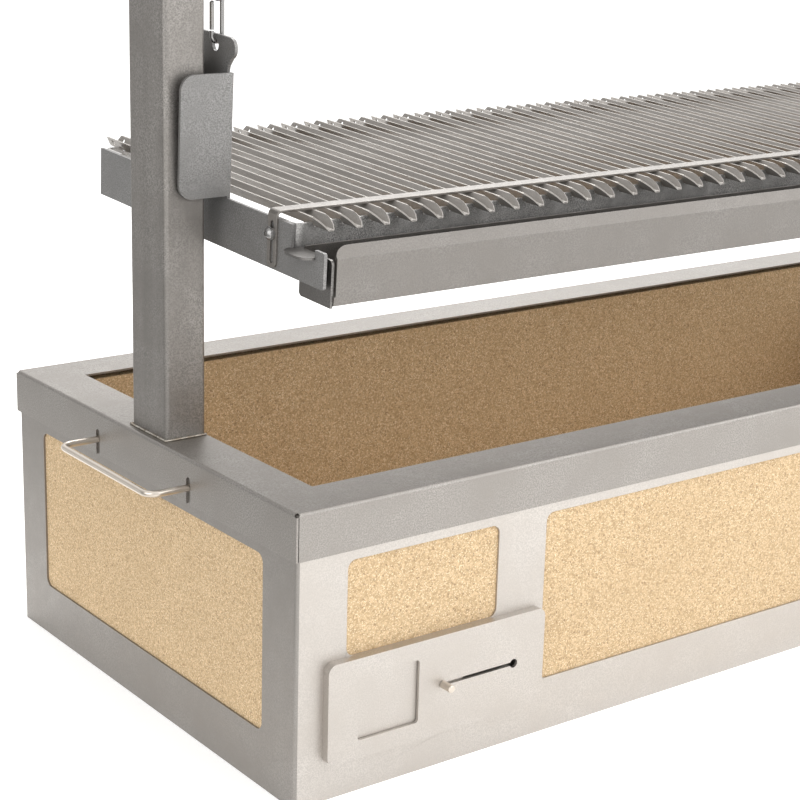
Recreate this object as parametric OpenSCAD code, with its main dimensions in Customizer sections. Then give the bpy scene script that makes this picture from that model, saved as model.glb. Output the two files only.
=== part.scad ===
// Charbroiler grill: a sheet-steel fire box lined with insulating boards, with a grate of
// V-shaped bars that a hand wheel raises and lowers between two posts.
// Origin: centre of the flat base on the worktop. +X along the length, -Y the front, +Z up.

/* [Fire box] */
// Length of the rim along X
box_w = 1200; // [800:10:1600]
// Depth of the rim along Y
box_d = 490; // [450:5:700]
// Height from the worktop to the top of the rim
box_h = 258; // [220:1:320]
// Thickness of the folded steel sheet
sheet = 2; // [1.5:0.5:3]
// Height of the rim's outer skirt
skirt_h = 41; // [30:1:50]
// Width of the rim's top flange along the front and back
rim_flange_y = 50; // [48:1:60]
// Width of the rim's top flange at the ends
rim_flange_x = 48.5; // [46:0.5:60]
// Outer bend radius of the folded sheets
bend_r = 3; // [2:0.5:4]
// Thickness of the insulating boards
board_t = 43; // [30:1:44]

/* [Windows] */
// Steel left round each window
window_border = 51; // [40:1:60]
// Width of the small front windows above the air dampers
small_window_w = 158; // [120:1:180]
// Width of the uprights between the front windows
mullion_w = 53; // [40:1:80]
// Height of the small windows' lower edge above the worktop
small_window_z = 124; // [110:1:140]
// Corner radius of the windows
window_r = 8; // [4:1:12]

/* [Posts and handles] */
// Post section along X
post_x = 40; // [30:1:44]
// Post section along Y
post_y = 60; // [40:1:80]
// Wall of the post tube
post_wall = 2.5; // [1.5:0.5:4]
// Height of the posts above the rim
post_h = 722; // [680:1:900]
// Rod diameter of the carrying handles
handle_rod_d = 6; // [5:0.5:10]
// Distance between the two legs of a handle
handle_span = 160; // [120:1:200]
// Reach of a handle beyond the rim, to the rod's centre
handle_reach = 38; // [30:1:60]

/* [Air dampers] */
// Length of the damper's cover plate
damper_w = 230; // [220:1:240]
// Height of the damper's cover plate
damper_h = 90; // [80:1:96]
// Distance from the rim's end to the cover plate
damper_inset = 29.5; // [20:0.5:40]
// Thickness of the cover plate
damper_cover_t = 3; // [2:0.5:4]
// Thickness of the spacer that the shutter slides in
damper_spacer_t = 5; // [4:0.5:6]
// Width of the air inlet
inlet_w = 62.5; // [40:0.5:64]
// Height of the air inlet
inlet_h = 57.5; // [40:0.5:60]
// Travel of the shutter
shutter_travel = 78; // [66:1:78]

/* [Grate] */
// Number of V bars
bar_count = 37; // [21:2:37]
// Distance from one V bar to the next
bar_pitch = 28.18; // [24:0.01:28.2]
// Width of a V bar across its top
bar_w = 17.7; // [14:0.1:20]
// Depth of a V bar
bar_depth = 9.5; // [8:0.5:11]
// Sheet thickness of a V bar
bar_t = 1.8; // [1:0.1:2]
// Height of the grate's side plates
side_h = 44; // [40:1:50]
// Thickness of the side plates and bars
plate_t = 3; // [2:0.5:4]
// Gap between a post and the side plate's upstand
guide_gap = 18; // [12:1:20]
// Lean of the hanging grate, front edge down, in degrees
lean = 2.8; // [0:0.1:3]

/* [Drip tray] */
// Depth of the tray from front to back
tray_d = 45.5; // [40:0.5:46]
// Height of the tray's front wall below its lip
tray_front_h = 39.4; // [30:0.1:44]
// Length of the folded lip
tray_lip = 12; // [8:1:14]

/* [Lift] */
// Radius of the rope drums
drum_r = 14; // [12:1:15]
// Diameter of the wire rope
rope_d = 4; // [3:0.5:5]
// Diameter of the lift shaft
shaft_d = 20; // [16:1:24]
// Radius of the hand wheel to the centre of its rim
wheel_r = 140; // [100:5:160]
// Teeth on the ratchet wheel
ratchet_teeth = 24; // [16:1:30]

/* [Hidden] */
$fn = 64;
STEEL = [0.66, 0.65, 0.64];
STEEL_DARK = [0.50, 0.49, 0.48];
BRIGHT = [0.80, 0.80, 0.80];
BOARD = [0.80, 0.64, 0.42];
BLACK = [0.12, 0.12, 0.12];
BRASS = [0.75, 0.60, 0.30];

// Fire box levels and faces
half_w = box_w / 2;
half_d = box_d / 2;
skirt_z = box_h - skirt_h;
shell_x = half_w - sheet;
shell_y = half_d - sheet;
lining_x = shell_x - sheet;
lining_y = shell_y - sheet;
lining_in_x = lining_x - board_t;
lining_in_y = lining_y - board_t;
lining_top = box_h - 7;
floor_top = sheet + board_t;
window_top = skirt_z - 9;
window_z = 51;
shell_corner = bend_r + sheet;
lining_corner = bend_r - sheet;
long_board_x = lining_x - lining_corner;

// Front windows, measured from the left end of the rim
small_left = -half_w + 52;
small_right = small_left + small_window_w;
large_half = -(small_right + mullion_w);

// Damper: the left one; the right one is its mirror image
damper_x0 = -half_w + damper_inset;
damper_z1 = small_window_z;
damper_z0 = damper_z1 - damper_h;
damper_back = -shell_y;
damper_mid = damper_back - damper_spacer_t;
damper_front = damper_mid - damper_cover_t;
inlet_x0 = damper_x0 + 30;
inlet_z0 = (damper_z0 + damper_z1) / 2 - inlet_h / 2;
duct_margin = 4;
shutter_w = 122;
shutter_h = 72;
shutter_clear = 0.5;
channel_x0 = damper_x0 + 20;
channel_w = shutter_w + shutter_travel + 2 * shutter_clear;
knob_x = inlet_x0 + 88;
knob_z = damper_z0 + damper_h / 2;
knob_r = 3.5;
knob_neck_r = 1.4;
slot_half = 1.6;
knob_hole_r = 4.1;

// Posts
post_cx = half_w - 8 - post_x / 2;
post_in = post_cx - post_x / 2;
post_out = post_cx + post_x / 2;
post_top = box_h + post_h;
post_corner = 4;
weld_leg = 2.5;
cap_t = 3;

// Carriage, drawn level and then leaned about the middle of its guides
side_out = post_in - guide_gap;
side_in = side_out - plate_t;
side_z0 = 425;
side_z1 = side_z0 + side_h;
side_back = 186;
side_front = -137.5;
finger_y0 = -185.5;
finger_y1 = -172;
finger_z1 = side_z0 + 30.6;
notch_z = side_z0 + 22.6;
guard_half = 38;
guard_z0 = side_z1 + 2;
guard_z1 = guard_z0 + 105;
guard_reach = 47.5;
guard_corner = 13;
lean_z = (guard_z0 + guard_z1) / 2;
lug_y = -12.6;
lug_z = side_z0 + 170.5;
lug_half = 31;
lug_hole_r = 5;
lug_top = side_z0 + 180;

// V bars
bar_top = side_z1 + 5;
bar_front = -132;
bar_tip = -156;
bar_back = 208;
bar_back_tip = 212;
bar_foot = 3.2;
bar_slope = (bar_w / 2 - bar_foot) / bar_depth;
bar_wall = bar_t * sqrt(1 + bar_slope * bar_slope);
notch_clear = 0.4;

// Hold-down strap
strap_y0 = -118;
strap_y1 = -105;
strap_t = 2;
strap_mid = (strap_y0 + strap_y1) / 2;
strap_foot = side_z0 + 2.5;
strap_slot_half = 2.7;
strap_corner = 4;
screw_z = side_z0 + 31;
screw_head_r = 5.25;
screw_shank_r = 2.5;

// Drip tray
tray_front = -188.6;
tray_back = tray_front + tray_d;
tray_z0 = side_z0 - 13.6;
tray_fold_z = tray_z0 + tray_front_h;
tray_back_z = tray_z0 + 40.4;
tray_end_x = side_in - 4;
tray_end_t = 2.5;
tray_end_y = 2;
tray_end_z0 = side_z0 - 15.5;
tray_end_z1 = side_z0 + 24.5;
tray_sheet = 2;
tray_chamfer_z = 8;
tray_chamfer_y = 1;
lip_angle = 48;
lip_corner_r = 16;

// Lift gear
shaft_z = post_top + cap_t + 25;
shaft_r = shaft_d / 2;
rope_y = -(drum_r + rope_d / 2);
rope_x = side_out - plate_t / 2;
drum_half = 12;
drum_flange_r = 20;
block_w = 40;
block_d = 50;
bush_r = shaft_r + 3;
bush_clear = 0.05;
wheel_x = post_out + 50;
wheel_tube_r = 9;
hub_r = 21;
hub_half = 16;
ratchet_x = post_out + 10;
ratchet_r = 30;
ratchet_root = 25.5;
ratchet_t = 6;
pawl_y = -34;
pawl_z = shaft_z + 35;
pawl_pin_r = 4;
pawl_plate_t = 4;
pawl_lift = 12;
shaft_x0 = -post_out - 14;
shaft_x1 = wheel_x + hub_half + 6;
spokes = 4;
spoke_r = 5.5;
knob_len = 62;
knob_ball_r = 21;
knob_bolt_r = 5;

// Snap hook, eye and rope
hook_wire_r = 2;
hook_bow_r = 5;
hook_len = 44;
hook_y = lug_y * cos(lean) - (lug_z - lean_z) * sin(lean);
hook_low_z = lean_z + (lug_z - lean_z) * cos(lean) + lug_y * sin(lean) + lug_hole_r - hook_wire_r - 0.2;
hook_bow_z = hook_low_z + hook_bow_r;
hook_top_z = hook_low_z + hook_len - 2 * hook_wire_r - hook_bow_r;
gate_z0 = hook_bow_z + 5;
gate_gap = 1;
gate_pivot_z = hook_top_z - gate_gap - hook_wire_r;
eye_r = 8;
eye_wire_r = 2.4;
eye_z = hook_top_z + hook_bow_r - hook_wire_r - eye_wire_r + eye_r;
ferrule_r = 4.5;
ferrule_z0 = eye_z + eye_r + 1;
ferrule_z1 = ferrule_z0 + 20;

// ---------- helpers ----------

// Box between two corners
module block(low, high) {
    translate(low) cube(high - low);
}

// Rectangle with round corners, lower left corner at the origin
module round_rect(w, h, r) {
    translate([r, 0]) square([w - 2 * r, h]);
    translate([0, r]) square([w, h - 2 * r]);
    for (x = [r, w - r], y = [r, h - r]) translate([x, y]) circle(r);
}

// Rectangle with round corners, centred
module round_rect_mid(w, h, r) {
    translate([-w / 2, -h / 2]) round_rect(w, h, r);
}

// Outline in the X-Z plane made solid from y0 to y1
module along_y(y0, y1) {
    translate([0, y1, 0]) rotate([90, 0, 0]) linear_extrude(y1 - y0) children();
}

// Outline in the Y-Z plane made solid from x0 to x1
module along_x(x0, x1) {
    translate([x0, 0, 0]) rotate([90, 0, 90]) linear_extrude(x1 - x0) children();
}

// Cylinder along X
module rod_x(x0, x1, y, z, r) {
    translate([x0, y, z]) rotate([0, 90, 0]) cylinder(h = x1 - x0, r = r);
}

// Cylinder along Y
module rod_y(y0, y1, x, z, r) {
    translate([x, y1, z]) rotate([90, 0, 0]) cylinder(h = y1 - y0, r = r);
}

// Part drawn at the left end (side = -1) or mirrored to the right end (side = 1)
module at_end(side) {
    if (side < 0) children();
    else mirror([1, 0, 0]) children();
}

// Lean of the grate as it hangs between the posts
module leaning() {
    translate([0, 0, lean_z]) rotate([lean, 0, 0]) translate([0, 0, -lean_z]) children();
}

// ---------- fire box ----------

// Air inlet through the front wall, wide enough to cut from y0 to y1
module air_ducts(y0, y1) {
    for (side = [-1, 1]) at_end(side)
        block([inlet_x0 + duct_margin, y0, inlet_z0 + duct_margin],
              [inlet_x0 + inlet_w - duct_margin, y1, inlet_z0 + inlet_h - duct_margin]);
}

// Long wall of the shell with its windows; the corners belong to the end panels
module long_panel(y0, y1) {
    difference() {
        block([-half_w + shell_corner, y0, 0], [half_w - shell_corner, y1, box_h - sheet]);
        for (side = [-1, 1]) at_end(side) along_y(y0 - 1, y1 + 1)
            translate([small_left, small_window_z])
                round_rect(small_window_w, window_top - small_window_z, window_r);
        along_y(y0 - 1, y1 + 1) translate([-large_half, window_z])
            round_rect(2 * large_half, window_top - window_z, window_r);
    }
}

module front_panel() color(STEEL) {
    difference() {
        long_panel(-shell_y, -lining_y);
        air_ducts(-shell_y - 1, -lining_y + 1);
    }
}

module back_panel() color(STEEL) long_panel(lining_y, shell_y);

// End wall with both rounded corners and a short return on the front and back
module end_panel() {
    difference() {
        linear_extrude(box_h - sheet) difference() {
            round_rect_mid(2 * shell_x, 2 * shell_y, bend_r);
            round_rect_mid(2 * lining_x, 2 * lining_y, lining_corner);
            translate([-half_w + shell_corner, -half_d]) square([box_w, box_d]);
        }
        along_x(-half_w - 1, -half_w + shell_corner)
            translate([-half_d + window_border, window_z])
                round_rect(box_d - 2 * window_border, window_top - window_z, window_r);
    }
}

module end_panel_left() color(STEEL_DARK) end_panel();
module end_panel_right() color(STEEL_DARK) mirror([1, 0, 0]) end_panel();

module base_plate() color(STEEL_DARK)
    linear_extrude(sheet) round_rect_mid(2 * lining_x, 2 * lining_y, lining_corner);

module front_board() color(BOARD) {
    difference() {
        block([-long_board_x, -lining_y, sheet], [long_board_x, -lining_in_y, lining_top]);
        air_ducts(-lining_y - 1, -lining_in_y + 1);
    }
}

module back_board() color(BOARD)
    block([-long_board_x, lining_in_y, sheet], [long_board_x, lining_y, lining_top]);

module end_board() {
    block([-lining_x, -lining_in_y, sheet], [-lining_in_x, lining_in_y, lining_top]);
}

module end_board_left() color(BOARD) end_board();
module end_board_right() color(BOARD) mirror([1, 0, 0]) end_board();

module floor_board() color(BOARD)
    block([-lining_in_x, -lining_in_y, sheet], [lining_in_x, lining_in_y, floor_top]);

// Block with its four top edges rounded, as a folded lid has
module lid_block(hx, hy, z0, z1, r) {
    intersection() {
        along_y(-hy, hy) lid_outline(hx, z0, z1, r);
        along_x(-hx, hx) lid_outline(hy, z0, z1, r);
    }
}

module lid_outline(half, z0, z1, r) {
    translate([-half, z0]) square([2 * half, z1 - z0 - r]);
    translate([-half + r, z0]) square([2 * half - 2 * r, z1 - z0]);
    for (s = [-1, 1]) translate([s * (half - r), z1 - r]) circle(r);
}

// Open-bottomed slot in the skirt for one leg of a handle
module handle_slot(y) {
    slot_w = handle_rod_d + 0.6;
    block([-half_w - 1, y - slot_w / 2, skirt_z - 1],
          [-half_w + sheet + 0.5, y + slot_w / 2, box_h - 20]);
    rod_x(-half_w - 1, -half_w + sheet + 0.5, y, box_h - 20, slot_w / 2);
}

// Loose lid: flange, skirt, relief holes at the corners and the open corner seams
module rim_frame() color(STEEL) {
    relief_r = 2;
    relief_in = 1.6;
    seam = 0.7;
    difference() {
        lid_block(half_w, half_d, skirt_z, box_h, bend_r);
        block([-shell_x, -shell_y, skirt_z - 1], [shell_x, shell_y, box_h - sheet]);
        block([-half_w + rim_flange_x, -half_d + rim_flange_y, skirt_z],
              [half_w - rim_flange_x, half_d - rim_flange_y, box_h + 1]);
        for (side = [-1, 1]) at_end(side) {
            for (s = [-1, 1]) {
                translate([relief_in - half_w, s * (half_d - relief_in), box_h - relief_in])
                    rotate([0, atan(sqrt(2)), s > 0 ? 135 : 225]) cylinder(h = 12, r = relief_r, center = true);
                block([-half_w + sheet, s < 0 ? -half_d - 1 : shell_y, skirt_z - 1],
                      [-half_w + sheet + seam, s < 0 ? -shell_y : half_d + 1, box_h - 3]);
                handle_slot(s * handle_span / 2);
            }
        }
    }
}

// Bent rod handle, welded to the end panel behind the skirt
module carry_handle() {
    bend = 11;
    r = handle_rod_d / 2;
    z = box_h - 26;
    x_far = -half_w - handle_reach;
    leg = handle_span / 2;
    rod_y(-leg + bend, leg - bend, x_far, z, r);
    for (s = [-1, 1]) {
        rod_x(x_far + bend, -shell_x, s * leg, z, r);
        translate([x_far + bend, s * (leg - bend), z]) rotate([0, 0, s > 0 ? 90 : 180])
            rotate_extrude(angle = 90) translate([bend, 0]) circle(r);
    }
}

module carry_handle_left() color(BRIGHT) carry_handle();
module carry_handle_right() color(BRIGHT) mirror([1, 0, 0]) carry_handle();

// ---------- posts ----------

module post() {
    translate([-post_cx, 0, box_h]) linear_extrude(post_h) difference() {
        round_rect_mid(post_x, post_y, post_corner);
        round_rect_mid(post_x - 2 * post_wall, post_y - 2 * post_wall, post_corner - post_wall);
    }
}

module post_left() color(STEEL_DARK) post();
module post_right() color(STEEL_DARK) mirror([1, 0, 0]) post();

// Fillet weld round three sides of each post foot; the fourth is over the rim's edge
module post_welds() color(STEEL) {
    for (side = [-1, 1]) at_end(side) difference() {
        translate([-post_cx, 0, box_h]) linear_extrude(weld_leg) difference() {
            round_rect_mid(post_x + 2 * weld_leg, post_y + 2 * weld_leg, post_corner + weld_leg);
            round_rect_mid(post_x, post_y, post_corner);
        }
        block([-post_in, -post_y, box_h - 1], [-post_in + 20, post_y, box_h + 10]);
    }
}

module post_caps() color(STEEL_DARK) {
    for (side = [-1, 1])
        translate([side * post_cx, 0, post_top]) linear_extrude(cap_t)
            round_rect_mid(post_x, post_y, post_corner);
}

// Square tube that ties the posts together behind the ropes
module crossbar() color(STEEL_DARK) {
    tube = 25;
    y_mid = 15;
    z_mid = post_top - 25;
    along_x(-post_in, post_in) translate([y_mid, z_mid]) difference() {
        round_rect_mid(tube, tube, 3);
        round_rect_mid(tube - 4, tube - 4, 1.5);
    }
}

// ---------- air dampers ----------

module damper_outline() {
    translate([damper_x0, damper_z0]) round_rect(damper_w, damper_h, window_r);
}

module damper_cover() {
    difference() {
        along_y(damper_front, damper_mid) damper_outline();
        along_y(damper_front - 1, damper_mid + 1)
            translate([inlet_x0, inlet_z0]) round_rect(inlet_w, inlet_h, 3);
        along_y(damper_front - 1, damper_mid + 1) {
            translate([knob_x, knob_z]) circle(slot_half);
            translate([knob_x, knob_z - slot_half]) square([shutter_travel, 2 * slot_half]);
            translate([knob_x + shutter_travel, knob_z]) circle(knob_hole_r);
        }
    }
}

module damper_cover_left() color(STEEL) damper_cover();
module damper_cover_right() color(STEEL) mirror([1, 0, 0]) damper_cover();

module damper_spacer() {
    channel_h = shutter_h + 2 * shutter_clear;
    difference() {
        along_y(damper_mid, damper_back) damper_outline();
        along_y(damper_mid - 1, damper_back + 1)
            translate([channel_x0 - shutter_clear, knob_z - channel_h / 2]) square([channel_w, channel_h]);
    }
}

module damper_spacer_left() color(STEEL_DARK) damper_spacer();
module damper_spacer_right() color(STEEL_DARK) mirror([1, 0, 0]) damper_spacer();

module damper_shutter() {
    along_y(damper_mid + 0.4, damper_back - 0.4)
        translate([channel_x0, knob_z - shutter_h / 2]) square([shutter_w, shutter_h]);
}

module damper_shutter_left() color(STEEL) damper_shutter();
module damper_shutter_right() color(STEEL) mirror([1, 0, 0]) damper_shutter();

// Pin with a thin neck that runs in the slot and a round-ended head to push it by
module damper_knob() {
    head_y = damper_front - 0.4;
    tip = 1.2;
    rod_y(head_y - 0.5, damper_mid + 0.4, knob_x, knob_z, knob_neck_r);
    translate([knob_x, head_y, knob_z]) rotate([90, 0, 0]) rotate_extrude() {
        square([knob_r - tip, 12.5]);
        square([knob_r, 12.5 - tip]);
        translate([knob_r - tip, 12.5 - tip]) intersection() {
            circle(tip);
            square(tip);
        }
    }
}

module damper_knob_left() color(BRIGHT) damper_knob();
module damper_knob_right() color(BRIGHT) mirror([1, 0, 0]) damper_knob();

// ---------- grate carriage ----------

// Side plate outline: bar with the tray hook in front, upstand and lifting lug
module side_outline() {
    translate([side_front, side_z0]) square([side_back - side_front, side_h]);
    difference() {
        translate([finger_y0, side_z0]) round_rect(side_front - finger_y0 + 6, finger_z1 - side_z0, 2);
        translate([finger_y1, notch_z]) square([side_front - finger_y1, 20]);
    }
    translate([-guard_half, side_z1 - 1]) square([2 * guard_half, guard_z1 - side_z1 + 1]);
    lug_outline();
}

// Lug with a wide head above a narrower neck
module lug_outline() {
    head_h = 18;
    neck = 19;
    difference() {
        union() {
            translate([lug_y - lug_half, lug_top - head_h]) round_rect(2 * lug_half, head_h, 8.9);
            polygon([
                [lug_y - neck, guard_z1 - 1], [lug_y + neck, guard_z1 - 1],
                [lug_y + neck + 1.6, lug_top - head_h - 6], [lug_y + lug_half - 4.6, lug_top - head_h + 1.5],
                [lug_y - lug_half + 4.6, lug_top - head_h + 1.5], [lug_y - neck - 1.6, lug_top - head_h - 6]
            ]);
        }
        translate([lug_y, lug_z]) circle(lug_hole_r);
    }
}

// Cheek of the guard that wraps the front or back of the post
module guard_cheek(y0, y1) {
    along_y(y0, y1) intersection() {
        translate([-side_out - guard_reach, guard_z0])
            round_rect(guard_reach + 30, guard_z1 - guard_z0, guard_corner);
        translate([-side_out - guard_reach, guard_z0])
            square([guard_reach + plate_t, guard_z1 - guard_z0]);
    }
}

module side_plate() {
    leaning() {
        difference() {
            along_x(-side_out, -side_in) side_outline();
            rod_x(-side_out - 1, -side_in + 1, strap_mid, screw_z, screw_shank_r);
        }
        guard_cheek(-guard_half, -guard_half + plate_t);
        guard_cheek(guard_half - plate_t, guard_half);
    }
}

module side_plate_left() color(STEEL_DARK) side_plate();
module side_plate_right() color(STEEL_DARK) mirror([1, 0, 0]) side_plate();

// Low-friction pads on the upstands, next to the posts' inner faces
module guide_pads() color(BLACK) {
    pad_t = guide_gap - 1.5;
    for (side = [-1, 1]) at_end(side) leaning()
        for (z = [guard_z0 + 12, guard_z1 - 32])
            block([-side_out - pad_t, -26, z], [-side_out, 26, z + 20]);
}

// Outline of all V bars, solid, used to cut the seats in the bars
module v_seats(grow) {
    for (i = [0 : bar_count - 1])
        translate([(i - (bar_count - 1) / 2) * bar_pitch, bar_top]) polygon([
            [-bar_w / 2 - grow - 1.5 * bar_slope, 1.5], [-bar_foot - grow, -bar_depth - grow],
            [bar_foot + grow, -bar_depth - grow], [bar_w / 2 + grow + 1.5 * bar_slope, 1.5]
        ]);
}

// Folded bar between the side plates, with returns and V seats
module seat_bar(y0, dir) {
    ret = 30;
    r = 9;
    difference() {
        translate([0, 0, side_z0]) linear_extrude(side_h) difference() {
            translate([-side_in, min(y0, y0 + dir * ret)]) round_rect_open(2 * side_in, ret, r, dir);
            translate([-side_in + plate_t, min(y0 + dir * plate_t, y0 + dir * ret) - (dir < 0 ? 1 : 0)])
                round_rect_open(2 * (side_in - plate_t), ret - plate_t + 1, r - plate_t, dir);
        }
        along_y(y0 - ret - 1, y0 + ret + 1) v_seats(notch_clear);
    }
}

// Rectangle with round corners only on the side away from dir
module round_rect_open(w, h, r, dir) {
    y_round = dir > 0 ? r : h - r;
    y_flat = dir > 0 ? r : 0;
    translate([0, y_flat]) square([w, h - r]);
    translate([r, 0]) square([w - 2 * r, h]);
    for (x = [r, w - r]) translate([x, y_round]) circle(r);
}

module grate_front_bar() color(STEEL_DARK) leaning() difference() {
    seat_bar(side_front, 1);
    rod_x(-side_in - 1, side_in + 1, strap_mid, screw_z, screw_shank_r);
}

module grate_back_bar() color(STEEL_DARK) leaning() seat_bar(side_back, -1);

// Outline of the metal cut away in front of one flange, on the flange's own plane
module spout_cut() {
    len = bar_depth * sqrt(1 + bar_slope * bar_slope);
    translate([bar_foot, 0, bar_top - bar_depth]) rotate([0, atan(bar_slope), 0])
        along_x(-bar_t - 0.6, 0.8) polygon([
            [bar_tip - 2, 0], [bar_tip, 0], [bar_tip + 1, 0.16 * len], [bar_tip + 4.6, 0.44 * len],
            [bar_tip + 10, 0.69 * len], [bar_tip + 16.5, 0.89 * len], [bar_front, len],
            [bar_front, len + 2], [bar_tip - 2, len + 2]
        ]);
}

// One V bar: the trough runs out into a pointed spout over the drip tray
module v_bar() {
    inner_foot = (bar_w / 2 - bar_wall) - (bar_depth - bar_t) * bar_slope;
    difference() {
        along_y(bar_tip, bar_back_tip) translate([0, bar_top]) polygon([
            [-bar_w / 2, 0], [-bar_foot, 1 - bar_depth], [1 - bar_foot, -bar_depth], [bar_foot - 1, -bar_depth],
            [bar_foot, 1 - bar_depth], [bar_w / 2, 0], [bar_w / 2 - bar_wall, 0],
            [inner_foot, bar_t - bar_depth], [-inner_foot, bar_t - bar_depth], [-bar_w / 2 + bar_wall, 0]
        ]);
        spout_cut();
        mirror([1, 0, 0]) spout_cut();
    }
}

module v_bars() color(STEEL) leaning() {
    reach = bar_count * bar_pitch / 2 + 5;
    difference() {
        for (i = [0 : bar_count - 1]) translate([(i - (bar_count - 1) / 2) * bar_pitch, 0, 0]) v_bar();
        along_x(-reach, reach) polygon([
            [bar_back_tip + 1, bar_top - bar_depth], [bar_back_tip, bar_top - bar_depth],
            [bar_back, bar_top], [bar_back, bar_top + 1], [bar_back_tip + 1, bar_top + 1]
        ]);
        rod_x(-reach, reach, bar_back - 8, bar_top - bar_depth * 0.45, 2.4);
    }
}

// Flat strap over the V bars, bent down at both ends, with long adjusting slots
module hold_down_strap() color(STEEL) leaning() {
    z1 = bar_top + strap_t;
    out = side_out + strap_t;
    bend = 5;
    difference() {
        along_y(strap_y0, strap_y1) difference() {
            strap_outline(out, strap_foot, z1, bend);
            strap_outline(side_out, strap_foot - 1, bar_top, bend - strap_t);
        }
        for (side = [-1, 1]) at_end(side) along_x(-out - 1, -side_out + 1)
            for (s = [-1, 1]) translate([strap_mid + s * (strap_y1 - strap_y0) / 2, strap_foot]) difference() {
                translate([-strap_corner, -1]) square([2 * strap_corner, strap_corner + 1]);
                translate([-s * strap_corner, strap_corner]) circle(strap_corner);
            }
        for (side = [-1, 1]) at_end(side) {
            block([-out - 1, strap_mid - strap_slot_half, strap_foot + 5.5],
                  [-side_out + 1, strap_mid + strap_slot_half, bar_top - 10]);
            for (z = [strap_foot + 5.5, bar_top - 10])
                rod_x(-out - 1, -side_out + 1, strap_mid, z, strap_slot_half);
        }
    }
}

module strap_outline(half, z0, z1, r) {
    translate([-half, z0]) square([2 * half, z1 - z0 - r]);
    translate([-half + r, z0]) square([2 * half - 2 * r, z1 - z0]);
    for (s = [-1, 1]) translate([s * (half - r), z1 - r]) circle(r);
}

// Button-head screws with a hex recess, a washer and a nut behind the plate
module strap_screws() color(BRIGHT) {
    head_h = 4;
    washer_t = 2.6;
    ball = 6.2;
    nut_t = 5;
    grip = strap_t + 2 * plate_t;
    for (side = [-1, 1]) at_end(side) leaning() translate([-side_out - strap_t, strap_mid, screw_z])
        rotate([0, -90, 0]) {
            cylinder(h = washer_t, r = 6);
            translate([0, 0, washer_t]) difference() {
                intersection() {
                    cylinder(h = head_h, r = screw_head_r);
                    translate([0, 0, head_h - ball]) sphere(ball);
                }
                translate([0, 0, head_h - 2]) cylinder(h = 3, r = 2.3, $fn = 6);
            }
            translate([0, 0, -grip - nut_t - 2]) cylinder(h = grip + nut_t + 2, r = screw_shank_r);
            translate([0, 0, -grip - nut_t]) cylinder(h = nut_t, r = 5.7, $fn = 6);
        }
}

// ---------- drip tray ----------

// Cross-section of the trough's sheet: lip, front wall, floor and back wall
module trough_section() {
    lip_y = tray_lip * cos(lip_angle);
    lip_z = tray_lip * sin(lip_angle);
    t = tray_sheet;
    polygon([
        [tray_front, tray_z0 + tray_chamfer_z], [tray_front, tray_fold_z],
        [tray_front + lip_y, tray_fold_z + lip_z],
        [tray_front + lip_y + t * sin(lip_angle), tray_fold_z + lip_z - t * cos(lip_angle)],
        [tray_front + t, tray_fold_z - 0.8], [tray_front + t, tray_z0 + tray_chamfer_z],
        [tray_front + t + tray_chamfer_y, tray_z0 + t], [tray_back - t, tray_z0 + t],
        [tray_back - t, tray_back_z], [tray_back, tray_back_z], [tray_back, tray_z0],
        [tray_front + tray_chamfer_y, tray_z0]
    ]);
}

module drip_tray_trough() color(STEEL) leaning() {
    half = tray_end_x - tray_end_t;
    end_gap = 1.3;
    difference() {
        along_x(-half, half) trough_section();
        for (s = [-1, 1]) translate([s * half, 0, 0])
            block([-end_gap, tray_front - 1, tray_z0 + tray_chamfer_z], [end_gap, tray_front + tray_end_y, bar_top]);
        for (s = [-1, 1]) translate([s * half, tray_front, tray_fold_z]) rotate([lip_angle - 90, 0, 0])
            difference() {
                block([-lip_corner_r, -8, 0], [lip_corner_r, 8, lip_corner_r]);
                translate([-s * lip_corner_r, -9, tray_lip - lip_corner_r]) rotate([-90, 0, 0])
                    cylinder(h = 18, r = lip_corner_r);
            }
    }
}

// End plate of the tray with the lifting tab that hangs in the side plate's notch
module drip_tray_end() {
    x0 = -tray_end_x;
    x1 = x0 + tray_end_t;
    y0 = tray_front + tray_end_y;
    tab_x0 = -side_out - 12;
    tab_y0 = finger_y1 + 1;
    tab_y1 = side_front - 1;
    leaning() {
        along_x(x0, x1) {
            translate([y0, tray_end_z0]) round_rect(tray_d, tray_end_z1 - tray_end_z0, 4);
            translate([y0, tray_end_z0]) square([8, 8]);
            translate([tab_y0, notch_z - 1]) square([tab_y1 - tab_y0, tray_sheet + 1]);
        }
        translate([0, 0, notch_z]) linear_extrude(tray_sheet) intersection() {
            translate([tab_x0, tab_y0 - 2]) round_rect(60, tab_y1 - tab_y0 + 4, 12);
            translate([tab_x0, tab_y0 - 2]) square([-side_out - 0.3 - tab_x0, tab_y1 - tab_y0 + 4]);
        }
        block([-side_out - 1, tab_y0, notch_z], [x0 + 1, tab_y1, notch_z + tray_sheet]);
    }
}

module drip_tray_end_left() color(STEEL_DARK) drip_tray_end();
module drip_tray_end_right() color(STEEL_DARK) mirror([1, 0, 0]) drip_tray_end();

// ---------- snap hooks, eyes and ropes ----------

// Half ring in the X-Z plane, open side towards dir
module half_ring(x, z, ring_r, wire_r, dir) {
    translate([x, hook_y, z]) rotate([90, 0, 0]) rotate([0, 0, dir > 0 ? 180 : 0])
        rotate_extrude(angle = 180) translate([ring_r, 0]) circle(wire_r);
}

// Oval snap hook through the lug: the gate closes its outer side
module snap_hook() {
    half_ring(-rope_x, hook_bow_z, hook_bow_r, hook_wire_r, 1);
    half_ring(-rope_x, hook_top_z, hook_bow_r, hook_wire_r, -1);
    translate([-rope_x + hook_bow_r, hook_y, hook_bow_z])
        cylinder(h = hook_top_z - hook_bow_z, r = hook_wire_r);
    translate([-rope_x - hook_bow_r, hook_y, hook_bow_z])
        cylinder(h = gate_z0 - gate_gap - hook_bow_z, r = hook_wire_r);
}

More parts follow.
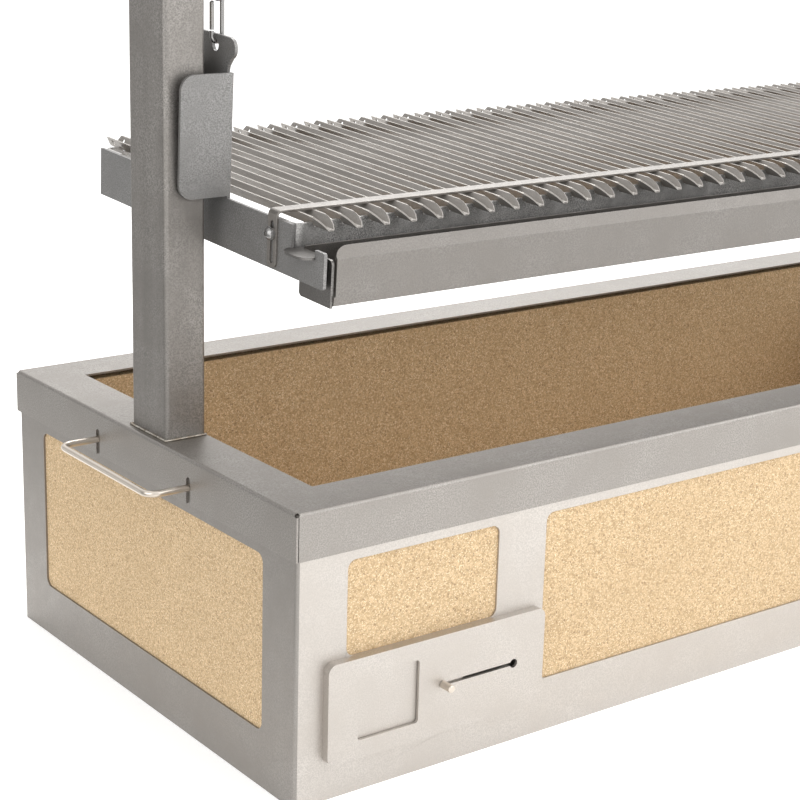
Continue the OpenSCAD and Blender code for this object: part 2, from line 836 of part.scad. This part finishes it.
module snap_hook_left() color(BRIGHT) snap_hook();
module snap_hook_right() color(BRIGHT) mirror([1, 0, 0]) snap_hook();

// Gate with a ball end at the top, where it turns on a small cross pin
module hook_gate() {
    x = -rope_x - hook_bow_r;
    translate([x, hook_y, gate_z0]) {
        cylinder(h = gate_pivot_z - gate_z0, r = hook_wire_r);
        translate([0, 0, gate_pivot_z - gate_z0]) sphere(hook_wire_r);
    }
    rod_y(hook_y - hook_wire_r - 0.5, hook_y + hook_wire_r + 0.5, x, gate_pivot_z, 0.9);
}

module hook_gate_left() color(BRIGHT) hook_gate();
module hook_gate_right() color(BRIGHT) mirror([1, 0, 0]) hook_gate();

// Thimble ring round the hook's top bow, and the ferrule that grips the rope
module rope_eye() {
    translate([-rope_x, hook_y, eye_z]) rotate([0, 90, 0]) rotate_extrude()
        translate([eye_r, 0]) circle(eye_wire_r);
    translate([-rope_x, hook_y, ferrule_z0]) cylinder(h = ferrule_z1 - ferrule_z0, r = ferrule_r);
}

module rope_eye_left() color(BRIGHT) rope_eye();
module rope_eye_right() color(BRIGHT) mirror([1, 0, 0]) rope_eye();

module lift_rope() {
    translate([-rope_x, rope_y, ferrule_z1]) cylinder(h = shaft_z - ferrule_z1, r = rope_d / 2);
}

module lift_rope_left() color(BRIGHT) lift_rope();
module lift_rope_right() color(BRIGHT) mirror([1, 0, 0]) lift_rope();

// ---------- lift gear ----------

// Drum with end flanges, keyed on the shaft
module rope_drum() {
    x0 = -rope_x - drum_half;
    x1 = -rope_x + drum_half;
    difference() {
        union() {
            rod_x(x0, x1, 0, shaft_z, drum_r - 0.3);
            for (x = [x0 - 3, x1]) rod_x(x, x + 3, 0, shaft_z, drum_flange_r);
        }
        rod_x(x0 - 5, x1 + 5, 0, shaft_z, shaft_r);
    }
}

module rope_drum_left() color(STEEL) rope_drum();
module rope_drum_right() color(STEEL) mirror([1, 0, 0]) rope_drum();

module lift_shaft() color(BRIGHT) rod_x(shaft_x0, shaft_x1, 0, shaft_z, shaft_r);

module shaft_collars() color(BRIGHT) {
    collar_w = 9;
    for (x = [-post_out - collar_w - 0.5, post_out + 0.5]) difference() {
        rod_x(x, x + collar_w, 0, shaft_z, shaft_r + 6);
        rod_x(x - 1, x + collar_w + 1, 0, shaft_z, shaft_r);
    }
}

module bearing_blocks() color(STEEL_DARK) {
    for (side = [-1, 1]) difference() {
        translate([side * post_cx, 0, post_top + cap_t]) {
            translate([0, 0, 12.5]) cube([block_w, block_d, 25], center = true);
            rod_x(-block_w / 2, block_w / 2, 0, 25, block_d / 2 - 3);
        }
        rod_x(side * post_cx - block_w, side * post_cx + block_w, 0, shaft_z, bush_r);
    }
}

module bearing_bushes() color(BRASS) {
    for (side = [-1, 1]) difference() {
        rod_x(side * post_cx - block_w / 2, side * post_cx + block_w / 2, 0, shaft_z, bush_r);
        rod_x(side * post_cx - block_w, side * post_cx + block_w, 0, shaft_z, shaft_r + bush_clear);
    }
}

// Ratchet wheel with saw teeth: their steep faces meet the pawl when the grate pulls down
module ratchet_wheel() color(STEEL_DARK) {
    step = 360 / ratchet_teeth;
    face = 2;
    difference() {
        along_x(ratchet_x, ratchet_x + ratchet_t) translate([0, shaft_z]) polygon([
            for (i = [0 : ratchet_teeth - 1]) each [
                ratchet_root * [cos(i * step), sin(i * step)],
                ratchet_r * [cos((i + 1) * step - face), sin((i + 1) * step - face)]
            ]
        ]);
        rod_x(ratchet_x - 1, ratchet_x + ratchet_t + 1, 0, shaft_z, shaft_r);
    }
}

// Pawl, lifted clear of the teeth; turned down by pawl_lift its toe drops behind a tooth
module pawl() color(STEEL_DARK) {
    x1 = ratchet_x + ratchet_t;
    translate([0, pawl_y, pawl_z]) rotate([pawl_lift, 0, 0]) translate([0, -pawl_y, -pawl_z])
        difference() {
            union() {
                rod_x(ratchet_x, x1, pawl_y, pawl_z, 8);
                along_x(ratchet_x, x1) translate([0, shaft_z]) polygon([
                    [-8.2, ratchet_root + 0.3], [-10.6, 27.4], [-13.5, ratchet_r + 1], [pawl_y + 2, 30],
                    [pawl_y + 2, 40], [-8.2, 34.5]
                ]);
                block([ratchet_x, pawl_y - 26, pawl_z - 3], [x1, pawl_y - 2, pawl_z + 3]);
            }
            rod_x(ratchet_x - 1, x1 + 1, pawl_y, pawl_z, pawl_pin_r + bush_clear);
        }
}

// Plate on the right bearing block that carries the pawl's pin
module pawl_bracket() color(STEEL_DARK) {
    x0 = post_cx + block_w / 2;
    block([x0, pawl_y - 9, post_top + cap_t + 2], [x0 + pawl_plate_t, -shaft_r - 7, pawl_z + 9]);
    rod_x(x0, ratchet_x + ratchet_t + 5, pawl_y, pawl_z, pawl_pin_r);
}

module wheel_ring() {
    translate([wheel_x, 0, shaft_z]) rotate([0, 90, 0]) rotate_extrude()
        translate([wheel_r, 0]) circle(wheel_tube_r);
}

module hand_wheel_rim() color(BLACK) wheel_ring();

// Hub and round spokes welded to the rim
module hand_wheel_spokes() color(STEEL) {
    difference() {
        union() {
            rod_x(wheel_x - hub_half, wheel_x + hub_half, 0, shaft_z, hub_r);
            for (i = [0 : spokes - 1]) translate([wheel_x, 0, shaft_z]) rotate([i * 360 / spokes + 45, 0, 0])
                cylinder(h = wheel_r - wheel_tube_r + 1.5, r = spoke_r);
        }
        rod_x(wheel_x - hub_half - 1, wheel_x + hub_half + 1, 0, shaft_z, shaft_r);
        wheel_ring();
    }
}

// Turning knob at the front of the wheel's rim: a shank with a thicker round end
module wheel_knob() color(BLACK) {
    x0 = wheel_x + wheel_tube_r + 3;
    translate([x0, -wheel_r, shaft_z]) rotate([0, 90, 0]) difference() {
        rotate_extrude() {
            square([9, knob_len]);
            translate([0, knob_len - knob_ball_r]) intersection() {
                circle(knob_ball_r);
                translate([0, -knob_ball_r]) square([13.5, 2 * knob_ball_r]);
            }
        }
        translate([0, 0, -1]) cylinder(h = knob_len + 2, r = knob_bolt_r + bush_clear);
    }
}

// Bolt that the knob turns on, seated on the wheel's tube
module knob_bolt() color(BRIGHT) {
    x0 = wheel_x + wheel_tube_r;
    difference() {
        union() {
            rod_x(wheel_x, x0 + knob_len + 6, -wheel_r, shaft_z, knob_bolt_r);
            rod_x(wheel_x, x0 + 2.7, -wheel_r, shaft_z, 8);
            rod_x(x0 + knob_len + 4.2, x0 + knob_len + 8, -wheel_r, shaft_z, 8);
        }
        wheel_ring();
    }
}

// ---------- output ----------

front_panel();
back_panel();
end_panel_left();
end_panel_right();
base_plate();
front_board();
back_board();
end_board_left();
end_board_right();
floor_board();
rim_frame();
carry_handle_left();
carry_handle_right();
post_left();
post_right();
post_welds();
post_caps();
crossbar();
damper_cover_left();
damper_cover_right();
damper_spacer_left();
damper_spacer_right();
damper_shutter_left();
damper_shutter_right();
damper_knob_left();
damper_knob_right();
side_plate_left();
side_plate_right();
guide_pads();
grate_front_bar();
grate_back_bar();
v_bars();
hold_down_strap();
strap_screws();
drip_tray_trough();
drip_tray_end_left();
drip_tray_end_right();
snap_hook_left();
snap_hook_right();
hook_gate_left();
hook_gate_right();
rope_eye_left();
rope_eye_right();
lift_rope_left();
lift_rope_right();
rope_drum_left();
rope_drum_right();
lift_shaft();
shaft_collars();
bearing_blocks();
bearing_bushes();
ratchet_wheel();
pawl();
pawl_bracket();
hand_wheel_rim();
hand_wheel_spokes();
wheel_knob();
knob_bolt();
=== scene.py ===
"""Looks for the charbroiler grill: materials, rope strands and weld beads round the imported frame."""

import math
import random

import bmesh
import bpy
from mathutils import Matrix, Vector


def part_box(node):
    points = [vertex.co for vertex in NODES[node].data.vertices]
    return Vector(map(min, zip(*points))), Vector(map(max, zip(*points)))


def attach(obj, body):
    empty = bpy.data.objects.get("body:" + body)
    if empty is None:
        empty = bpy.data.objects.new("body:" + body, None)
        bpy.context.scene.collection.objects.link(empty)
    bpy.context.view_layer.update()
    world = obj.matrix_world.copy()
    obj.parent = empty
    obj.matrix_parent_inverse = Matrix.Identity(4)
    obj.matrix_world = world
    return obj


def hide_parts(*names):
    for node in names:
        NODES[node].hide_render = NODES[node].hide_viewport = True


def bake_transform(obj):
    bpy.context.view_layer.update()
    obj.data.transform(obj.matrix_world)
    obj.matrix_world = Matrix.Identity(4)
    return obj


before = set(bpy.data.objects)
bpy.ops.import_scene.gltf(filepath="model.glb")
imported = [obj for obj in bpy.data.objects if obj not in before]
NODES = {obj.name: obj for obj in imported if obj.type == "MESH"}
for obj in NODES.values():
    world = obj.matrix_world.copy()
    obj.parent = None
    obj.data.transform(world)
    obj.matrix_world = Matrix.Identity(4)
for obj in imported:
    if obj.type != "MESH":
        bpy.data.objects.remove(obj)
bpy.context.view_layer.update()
MM = 0.001

# ---------- camera ----------

CAMERA_AT = (-1.4022, -1.4335, 0.7773)
CAMERA_HEADING = 37.138
CAMERA_PITCH = -16.473
CAMERA_ROLL = 1.636
CAMERA_LENS = 87.69
SENSOR = 36.0

# ---------- helpers ----------


def place_camera():
    data = bpy.data.cameras.new("camera")
    data.lens = CAMERA_LENS
    data.sensor_width = SENSOR
    data.clip_end = 60.0
    camera = bpy.data.objects.new("camera", data)
    bpy.context.scene.collection.objects.link(camera)
    turn = Matrix.Rotation(math.radians(-CAMERA_HEADING), 4, "Z")
    tilt = Matrix.Rotation(math.radians(90 + CAMERA_PITCH), 4, "X")
    roll = Matrix.Rotation(math.radians(CAMERA_ROLL), 4, "Z")
    camera.matrix_world = Matrix.Translation(CAMERA_AT) @ turn @ tilt @ roll
    bpy.context.scene.camera = camera


def area_light(name, at, aim, size, power):
    """A white rectangular light of a size in metres, turned towards aim."""
    data = bpy.data.lights.new(name, "AREA")
    data.shape = "RECTANGLE"
    data.size, data.size_y = size
    data.energy = power
    light = bpy.data.objects.new(name, data)
    bpy.context.scene.collection.objects.link(light)
    light.location = at
    light.rotation_euler = (Vector(aim) - Vector(at)).to_track_quat("-Z", "Y").to_euler()


def mesh_piece(name, bm):
    """A new object from a bmesh, smooth shaded, which the bmesh ends with."""
    mesh = bpy.data.meshes.new(name)
    bm.to_mesh(mesh)
    bm.free()
    mesh.shade_smooth()
    piece = bpy.data.objects.new(name, mesh)
    bpy.context.scene.collection.objects.link(piece)
    return piece


def sweep(bm, path, radii, sides, flat=1.0, up=Vector((0, 0, 1))):
    """A closed tube along path with a radius at each point; flat squeezes it along up."""
    rings = []
    for i, point in enumerate(path):
        ahead = path[min(i + 1, len(path) - 1)] - path[max(i - 1, 0)]
        along = ahead.normalized()
        across = along.cross(up)
        if across.length < 1e-6:
            across = along.cross(Vector((1, 0, 0)))
        across.normalize()
        over = across.cross(along).normalized()
        ring = []
        for k in range(sides):
            angle = 2 * math.pi * k / sides
            offset = across * math.cos(angle) + over * math.sin(angle) * flat
            ring.append(bm.verts.new(point + offset * radii[i]))
        rings.append(ring)
    for a, b in zip(rings, rings[1:]):
        for k in range(sides):
            bm.faces.new((a[k], a[(k + 1) % sides], b[(k + 1) % sides], b[k]))
    bm.faces.new(reversed(rings[0]))
    bm.faces.new(rings[-1])


# ---------- material kit ----------


class Shader:
    """A node tree under construction; add() makes one node and wires or sets its inputs."""

    def __init__(self, name):
        self.material = bpy.data.materials.new(name)
        self.material.use_nodes = True
        self.tree = self.material.node_tree
        self.tree.nodes.clear()
        self.place = self.add("TexCoord").outputs["Object"]

    def add(self, kind, inputs=None, **settings):
        made = self.tree.nodes.new("ShaderNode" + kind)
        for key, value in settings.items():
            setattr(made, key, value)
        for socket, value in (inputs or {}).items():
            if isinstance(value, bpy.types.NodeSocket):
                self.tree.links.new(value, made.inputs[socket])
            else:
                made.inputs[socket].default_value = value
        return made

    def noise(self, scale, detail=2.0, rough=0.5, stretch=None, distortion=0.0):
        where = self.place
        if stretch:
            where = self.add("Mapping", {"Vector": where, "Scale": stretch}).outputs["Vector"]
        return self.add("TexNoise", {"Vector": where, "Scale": scale, "Detail": detail,
                                     "Roughness": rough, "Distortion": distortion}).outputs["Fac"]

    def remap(self, value, low, high, to_low=0.0, to_high=1.0):
        return self.add("MapRange", {"Value": value, "From Min": low, "From Max": high,
                                     "To Min": to_low, "To Max": to_high}).outputs["Result"]

    def math(self, operation, a, b):
        return self.add("Math", {0: a, 1: b}, operation=operation).outputs[0]

    def mix(self, factor, a, b):
        made = self.add("Mix", data_type="RGBA")
        for socket, value in ((0, factor), (6, a), (7, b)):
            if isinstance(value, bpy.types.NodeSocket):
                self.tree.links.new(value, made.inputs[socket])
            else:
                made.inputs[socket].default_value = value
        return made.outputs[2]

    def bump(self, height, strength, distance):
        return self.add("Bump", {"Height": height, "Strength": strength,
                                 "Distance": distance}).outputs["Normal"]

    def finish(self, inputs):
        shader = self.add("BsdfPrincipled", inputs)
        out = self.add("OutputMaterial")
        self.tree.links.new(shader.outputs["BSDF"], out.inputs["Surface"])
        return self.material


def grey(level, warm=0.0):
    return (level * (1 + warm), level, level * (1 - warm), 1.0)


def steel(name, level, rough, speckle=0.10, mottle=0.10, warm=0.06, metal=1.0, lines=None, line_depth=0.0):
    """Mill-finish stainless sheet: fine speckle, soft cloudy mottling and faint rolling lines."""
    s = Shader(name)
    fine = s.noise(820.0, 1.0, 0.5)
    cloud = s.noise(16.0, 4.0, 0.6, distortion=0.4)
    blotch = s.noise(70.0, 3.0, 0.6)
    dark, pale = (grey(level * (1 + sign * speckle), warm) for sign in (-1, 1))
    tone = s.mix(s.remap(fine, 0.34, 0.66), dark, pale)
    tone = s.mix(s.remap(cloud, 0.30, 0.70, 0.0, 1.0), tone, grey(level * (1 - 1.6 * mottle), warm * 1.2))
    tone = s.mix(s.remap(blotch, 0.45, 0.80, 0.0, mottle * 2), tone, grey(level * 1.25, warm * 0.8))
    height = fine
    roughness = s.remap(blotch, 0.25, 0.75, rough - 0.05, rough + 0.06)
    if lines:
        streak = s.noise(1.0, 3.0, 0.7, stretch=lines)
        tone = s.mix(s.remap(streak, 0.35, 0.70, 0.0, line_depth), tone, grey(level * 0.55, warm))
        height = s.math("ADD", s.math("MULTIPLY", streak, 1.5), fine)
        roughness = s.math("ADD", roughness, s.remap(streak, 0.3, 0.7, -0.04, 0.04))
    return s.finish({"Base Color": tone, "Metallic": metal, "Roughness": roughness,
                     "Normal": s.bump(height, 0.35, 0.00008)})


def board(name):
    """Vermiculite board: fine pressed tan grains with small darker and paler specks."""
    s = Shader(name)
    grain = s.add("TexVoronoi", {"Vector": s.place, "Scale": 620.0, "Randomness": 1.0}, feature="F1")
    flake = s.add("SeparateColor", {"Color": grain.outputs["Color"]}).outputs["Red"]
    fine = s.noise(1100.0, 2.0, 0.6)
    cloud = s.noise(14.0, 4.0, 0.6)
    base = s.mix(flake, (0.40, 0.275, 0.150, 1), (0.78, 0.59, 0.37, 1))
    base = s.mix(s.remap(fine, 0.42, 0.60, 0.0, 0.75), base, (0.49, 0.35, 0.205, 1))
    base = s.mix(s.remap(flake, 0.95, 0.98, 0.0, 0.8), base, (0.25, 0.16, 0.085, 1))
    pale = s.noise(760.0, 1.0, 0.5)
    base = s.mix(s.remap(pale, 0.58, 0.68, 0.0, 0.8), base, (0.90, 0.77, 0.56, 1))
    base = s.mix(s.remap(cloud, 0.40, 0.75, 0.0, 0.22), base, (0.46, 0.33, 0.19, 1))
    height = s.math("ADD", flake, s.math("MULTIPLY", fine, 0.8))
    return s.finish({"Base Color": base, "Roughness": 0.92, "Specular IOR Level": 0.25,
                     "Normal": s.bump(height, 0.5, 0.0003)})


def polished(name, colour, rough, streaks, depth=0.14):
    """Bright drawn or turned steel with fine lines along one direction."""
    s = Shader(name)
    line = s.noise(1.0, 3.0, 0.6, stretch=streaks)
    soft = s.noise(60.0, 2.0)
    tone = s.mix(s.remap(line, 0.3, 0.7), tuple(c * (1 - depth) for c in colour) + (1,), colour + (1,))
    tone = s.mix(s.remap(soft, 0.5, 0.8, 0.0, 0.3), tone, (0.62, 0.54, 0.45, 1))
    return s.finish({"Base Color": tone, "Metallic": 1.0,
                     "Roughness": s.remap(line, 0.3, 0.7, rough - 0.3 * depth, rough + 0.5 * depth),
                     "Normal": s.bump(line, 1.8 * depth, 0.00004)})


def heat_tinted(name):
    """Weld metal: bright ripples with straw and brown oxide in between."""
    s = Shader(name)
    soot = s.noise(420.0, 3.0, 0.7)
    tint = s.noise(110.0, 2.0, 0.5)
    tone = s.mix(s.remap(tint, 0.35, 0.65), (0.62, 0.59, 0.54, 1), (0.36, 0.31, 0.25, 1))
    tone = s.mix(s.remap(soot, 0.58, 0.66), tone, (0.035, 0.028, 0.022, 1))
    return s.finish({"Base Color": tone, "Metallic": 0.9, "Roughness": s.remap(soot, 0.3, 0.7, 0.22, 0.55),
                     "Normal": s.bump(soot, 0.4, 0.0002)})


def dark_solid(name, colour, rough, grain_scale, grain_depth):
    """Moulded plastic or sprayed paint with its own fine grain."""
    s = Shader(name)
    grain = s.noise(grain_scale, 2.0, 0.55)
    wear = s.noise(30.0, 4.0, 0.6)
    tone = s.mix(s.remap(wear, 0.45, 0.75, 0.0, 0.5), colour + (1,), tuple(c * 1.9 for c in colour) + (1,))
    return s.finish({"Base Color": tone, "Roughness": s.remap(wear, 0.3, 0.7, rough - 0.06, rough + 0.08),
                     "Normal": s.bump(grain, 0.35, grain_depth)})


def bronze(name):
    s = Shader(name)
    turned = s.noise(1.0, 2.0, 0.5, stretch=(2200.0, 60.0, 60.0))
    tone = s.mix(s.remap(turned, 0.3, 0.7), (0.55, 0.36, 0.15, 1), (0.78, 0.56, 0.27, 1))
    return s.finish({"Base Color": tone, "Metallic": 1.0, "Roughness": s.remap(turned, 0.3, 0.7, 0.25, 0.38),
                     "Normal": s.bump(turned, 0.2, 0.00005)})


MATERIALS = {
    "shell": steel("satin_shell", 0.52, 0.50, speckle=0.12, mottle=0.05),
    # Painted shade: a darker copy of the shell steel for both end panels, standing for the shade on the end
    # faces
    "shell_painted_shade": steel("satin_shell_painted_shade", 0.30, 0.48, speckle=0.12, mottle=0.05),
    "rim": steel("satin_rim", 0.32, 0.46, speckle=0.24, mottle=0.07),
    "post": steel("rolled_post", 0.275, 0.46, speckle=0.34, mottle=0.12, metal=0.85, lines=(60.0, 60.0, 3.0),
                  line_depth=0.25),
    "guard": steel("brushed_plate", 0.25, 0.46, speckle=0.36, mottle=0.12, warm=0.02, metal=0.6),
    "grate": steel("grate_sheet", 0.36, 0.50, speckle=0.12, mottle=0.10, metal=0.65,
                   lines=(400.0, 6.0, 400.0), line_depth=0.22),
    "strap": steel("strap_sheet", 0.33, 0.36, speckle=0.14, mottle=0.08,
                   lines=(6.0, 300.0, 300.0), line_depth=0.20),
    "frame": steel("grate_frame", 0.50, 0.38, speckle=0.5, mottle=0.22, warm=0.02, metal=0.7),
    "tray": steel("tray_sheet", 0.22, 0.46, speckle=0.16, mottle=0.05),
    "tray_end": steel("tray_end_sheet", 0.21, 0.42, speckle=0.30, mottle=0.12, warm=0.04),
    "gear": steel("machined_gear", 0.40, 0.34, speckle=0.06, mottle=0.10),
    "board": board("vermiculite"),
    "rod": polished("drawn_rod", (0.66, 0.60, 0.53), 0.30, (150.0, 40.0, 150.0), 0.05),
    "bright": polished("bright_steel", (0.36, 0.355, 0.35), 0.24, (200.0, 200.0, 60.0)),
    "shaft": polished("ground_shaft", (0.52, 0.52, 0.515), 0.22, (1500.0, 40.0, 40.0)),
    "rope": polished("rope_wire", (0.50, 0.50, 0.495), 0.26, (900.0, 900.0, 120.0)),
    "weld": heat_tinted("weld_metal"),
    "plastic": dark_solid("black_plastic", (0.022, 0.022, 0.023), 0.42, 900.0, 0.0001),
    "paint": dark_solid("black_paint", (0.020, 0.020, 0.021), 0.32, 260.0, 0.0002),
    "bronze": bronze("bearing_bronze"),
}

# ---------- which material each CAD node wears ----------

WEARS = {
    # The end panels wear the darker copy of the shell steel: painted shade
    "shell_painted_shade": ("end_panel_left", "end_panel_right"),
    "shell": ("front_panel", "back_panel", "base_plate",
              "damper_cover_left", "damper_cover_right", "damper_shutter_left", "damper_shutter_right",
              "damper_spacer_left", "damper_spacer_right"),
    "rim": ("rim_frame",),
    "board": ("front_board", "back_board", "end_board_left", "end_board_right", "floor_board"),
    "post": ("post_left", "post_right", "post_caps", "crossbar", "bearing_blocks", "pawl_bracket"),
    "grate": ("v_bars",),
    "strap": ("hold_down_strap",),
    "frame": ("grate_front_bar", "grate_back_bar"),
    "guard": ("side_plate_left", "side_plate_right"),
    "tray": ("drip_tray_trough",),
    "tray_end": ("drip_tray_end_left", "drip_tray_end_right"),
    "rod": ("carry_handle_left", "carry_handle_right", "damper_knob_left", "damper_knob_right"),
    "bright": ("strap_screws", "snap_hook_left", "snap_hook_right", "hook_gate_left", "hook_gate_right",
               "rope_eye_left", "rope_eye_right", "knob_bolt"),
    "shaft": ("lift_shaft", "shaft_collars", "rope_drum_left", "rope_drum_right"),
    "gear": ("ratchet_wheel", "pawl", "hand_wheel_spokes"),
    "bronze": ("bearing_bushes",),
    "plastic": ("guide_pads", "wheel_knob"),
    "paint": ("hand_wheel_rim",),
}
EDGE_ANGLE = math.radians(32)
# How far the edges of each material's nodes are broken, in mm
SOFT_EDGES = {
    "board": 0.8, "shell": 0.25, "shell_painted_shade": 0.25, "rim": 0.25, "post": 0.3, "grate": 0.08, "strap": 0.2,
    "frame": 0.3, "guard": 0.3, "tray": 0.15, "tray_end": 0.3, "gear": 0.3, "bright": 0.15, "shaft": 0.4,
}


def soften(node, width):
    """Broken edges on a CAD node, as modifiers."""
    weld = node.modifiers.new("weld", "WELD")
    weld.merge_threshold = 1e-6
    bevel = node.modifiers.new("edges", "BEVEL")
    bevel.width = width * MM
    bevel.segments = 2
    bevel.limit_method = "ANGLE"
    bevel.angle_limit = EDGE_ANGLE
    normals = node.modifiers.new("normals", "WEIGHTED_NORMAL")
    normals.keep_sharp = False
    normals.weight = 60


def dress_nodes():
    for key, names in WEARS.items():
        for name in names:
            node = NODES[name]
            node.data.materials.clear()
            node.data.materials.append(MATERIALS[key])
            if key in SOFT_EDGES:
                soften(node, SOFT_EDGES[key])


# ---------- pieces that replace plain CAD stand-ins ----------

STRANDS = 6
LAY = 26 * MM
ROPE_STEP = 1.6 * MM
STRAND_SHARE = 0.36
CORE_SHARE = 0.75
CORE_STEPS = 40


def wire_rope(side):
    """Stranded rope from the ferrule to the drum, stretching between carriage and base."""
    name = f"lift_rope_{side}"
    low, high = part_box(name)
    centre = (low + high) / 2
    radius = (high.x - low.x) / 2
    strand = radius * STRAND_SHARE
    lay_radius = radius - strand
    bm = bmesh.new()
    count = int((high.z - low.z) / ROPE_STEP)
    for k in range(STRANDS):
        path = []
        for i in range(count + 1):
            z = low.z + (high.z - low.z) * i / count
            angle = 2 * math.pi * (k / STRANDS + (z - low.z) / LAY)
            path.append(Vector((centre.x + lay_radius * math.cos(angle),
                                centre.y + lay_radius * math.sin(angle), z)))
        sweep(bm, path, [strand] * len(path), 6, up=Vector((1, 0, 0)))
    core = [Vector((centre.x, centre.y, low.z + (high.z - low.z) * i / CORE_STEPS))
            for i in range(CORE_STEPS + 1)]
    sweep(bm, core, [lay_radius * CORE_SHARE] * len(core), 8, up=Vector((1, 0, 0)))
    piece = mesh_piece(f"wire_rope_{side}", bm)
    piece.data.materials.append(MATERIALS["rope"])
    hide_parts(name)
    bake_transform(piece)


WELD_PITCH = 1.5 * MM
STEPS_PER_RIPPLE = 3
WELD_INSET = 0.3 * MM


def weld_bead(side):
    """Rippled fillet along the outer, front and back sides of a post's foot."""
    low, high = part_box(f"post_{side}")
    bead_low, bead_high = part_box("post_welds")
    leg = bead_high.z - bead_low.z
    outer = low.x if side == "left" else high.x
    inner = high.x if side == "left" else low.x
    z = bead_low.z + 0.35 * leg
    out = -1 if side == "left" else 1
    reach = 0.30 * leg
    near, far = inner + out * WELD_INSET, outer + out * reach
    back, front = high.y + reach, low.y - reach
    corners = [Vector((x, y, z)) for x, y in ((near, back), (far, back), (far, front), (near, front))]
    path = []
    for a, b in zip(corners, corners[1:]):
        steps = max(2, int((b - a).length / (WELD_PITCH / STEPS_PER_RIPPLE)))
        path += [a.lerp(b, i / steps) for i in range(steps)]
    path.append(corners[-1])
    rng = random.Random(7 if side == "left" else 8)
    radii = []
    for i, _ in enumerate(path):
        ripple = abs(math.sin(math.pi * i / STEPS_PER_RIPPLE))
        radii.append(leg * (0.36 + 0.12 * ripple + rng.uniform(-0.03, 0.03)))
    bm = bmesh.new()
    sweep(bm, path, radii, 10, flat=0.9)
    piece = mesh_piece(f"weld_bead_{side}", bm)
    piece.data.materials.append(MATERIALS["weld"])
    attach(piece, "base")
    return piece


# ---------- stage ----------

FLOOR_HALF = 14.0
FLOOR_PAINTED_GLOW = 0.34
# The floor carries painted shade past the left end of the box, except in front of it, and a painted glow
# elsewhere: start and end of each fall-off
PAINTED_SHADE_TO_GLOW_X = (-1.10, -0.74)
PAINTED_SHADE_TO_GLOW_FORWARD = (0.20, 1.20)
# The surround is brightest in this direction, and its strength runs over this span
BRIGHT_WAY = (0.82, -0.08, 0.56)
SURROUND_SPAN = (("From Min", -0.75), ("From Max", 0.65), ("To Min", 0.28), ("To Max", 1.30))


def build_floor():
    """A big pale floor with a painted glow, a little brighter than the lights alone make it, and painted
    shade behind the left end.
    """
    bm = bmesh.new()
    signs = ((-1, -1), (1, -1), (1, 1), (-1, 1))
    corners = [bm.verts.new((x * FLOOR_HALF, y * FLOOR_HALF, 0.0)) for x, y in signs]
    bm.faces.new(corners)
    floor = mesh_piece("floor", bm)
    s = Shader("pale_floor")
    cloud = s.noise(0.8, 2.0)
    place = s.add("SeparateXYZ", {"Vector": s.place}).outputs
    forward = s.math("MULTIPLY", place["Y"], -1.0)
    sides = [s.add("MapRange", {"Value": value, "From Min": low, "From Max": high},
                   interpolation_type="SMOOTHSTEP").outputs["Result"]
             for value, (low, high) in ((place["X"], PAINTED_SHADE_TO_GLOW_X), (forward, PAINTED_SHADE_TO_GLOW_FORWARD))]
    # Painted shade mask: 1 where the floor is pale and glows, 0 behind the left end where its colour is
    # painted dark grey
    painted_light_mask = s.math("MAXIMUM", *sides)
    tone = s.mix(s.remap(cloud, 0.3, 0.7), (0.90, 0.90, 0.895, 1), (0.93, 0.93, 0.925, 1))
    tone = s.mix(painted_light_mask, (0.28, 0.28, 0.275, 1), tone)
    # Painted light: the floor glows though it is no lamp, and the glow is cut where the shade is painted
    floor.data.materials.append(s.finish({"Base Color": tone, "Roughness": 0.75, "Emission Color": tone,
                                          "Emission Strength": s.math("MULTIPLY", painted_light_mask, FLOOR_PAINTED_GLOW)}))


def build_world():
    """Soft studio surround: bright to the right and above, dim to the left."""
    world = bpy.data.worlds.new("studio")
    world.use_nodes = True
    tree = world.node_tree
    tree.nodes.clear()
    coord = tree.nodes.new("ShaderNodeTexCoord")
    dot = tree.nodes.new("ShaderNodeVectorMath")
    dot.operation = "DOT_PRODUCT"
    dot.inputs[1].default_value = BRIGHT_WAY
    ramp = tree.nodes.new("ShaderNodeMapRange")
    ramp.interpolation_type = "SMOOTHSTEP"
    for socket, value in SURROUND_SPAN:
        ramp.inputs[socket].default_value = value
    back = tree.nodes.new("ShaderNodeBackground")
    back.inputs["Color"].default_value = (1.0, 0.995, 0.985, 1)
    out = tree.nodes.new("ShaderNodeOutputWorld")
    tree.links.new(coord.outputs["Generated"], dot.inputs[0])
    tree.links.new(dot.outputs["Value"], ramp.inputs["Value"])
    tree.links.new(ramp.outputs["Result"], back.inputs["Strength"])
    tree.links.new(back.outputs["Background"], out.inputs["Surface"])
    bpy.context.scene.world = world


place_camera()
dress_nodes()
beads = [weld_bead(side) for side in ("left", "right")]
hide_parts("post_welds")
for side in ("left", "right"):
    wire_rope(side)
build_floor()
build_world()
area_light("key", (1.9, -2.5, 2.2), (-0.3, -0.1, 0.2), (4.4, 2.4), 48.0)
area_light("fill", (-3.3, -1.0, 1.5), (-0.4, 0.0, 0.3), (3.0, 2.4), 46.0)
area_light("bounce", (-2.4, 2.3, 0.3), (-0.4, 0.0, 0.7), (1.8, 1.0), 4.5)
area_light("overhead", (1.2, 1.2, 2.6), (-0.2, 0.0, 0.2), (1.8, 1.4), 46.0)
bpy.context.scene.view_settings.view_transform = "Standard"
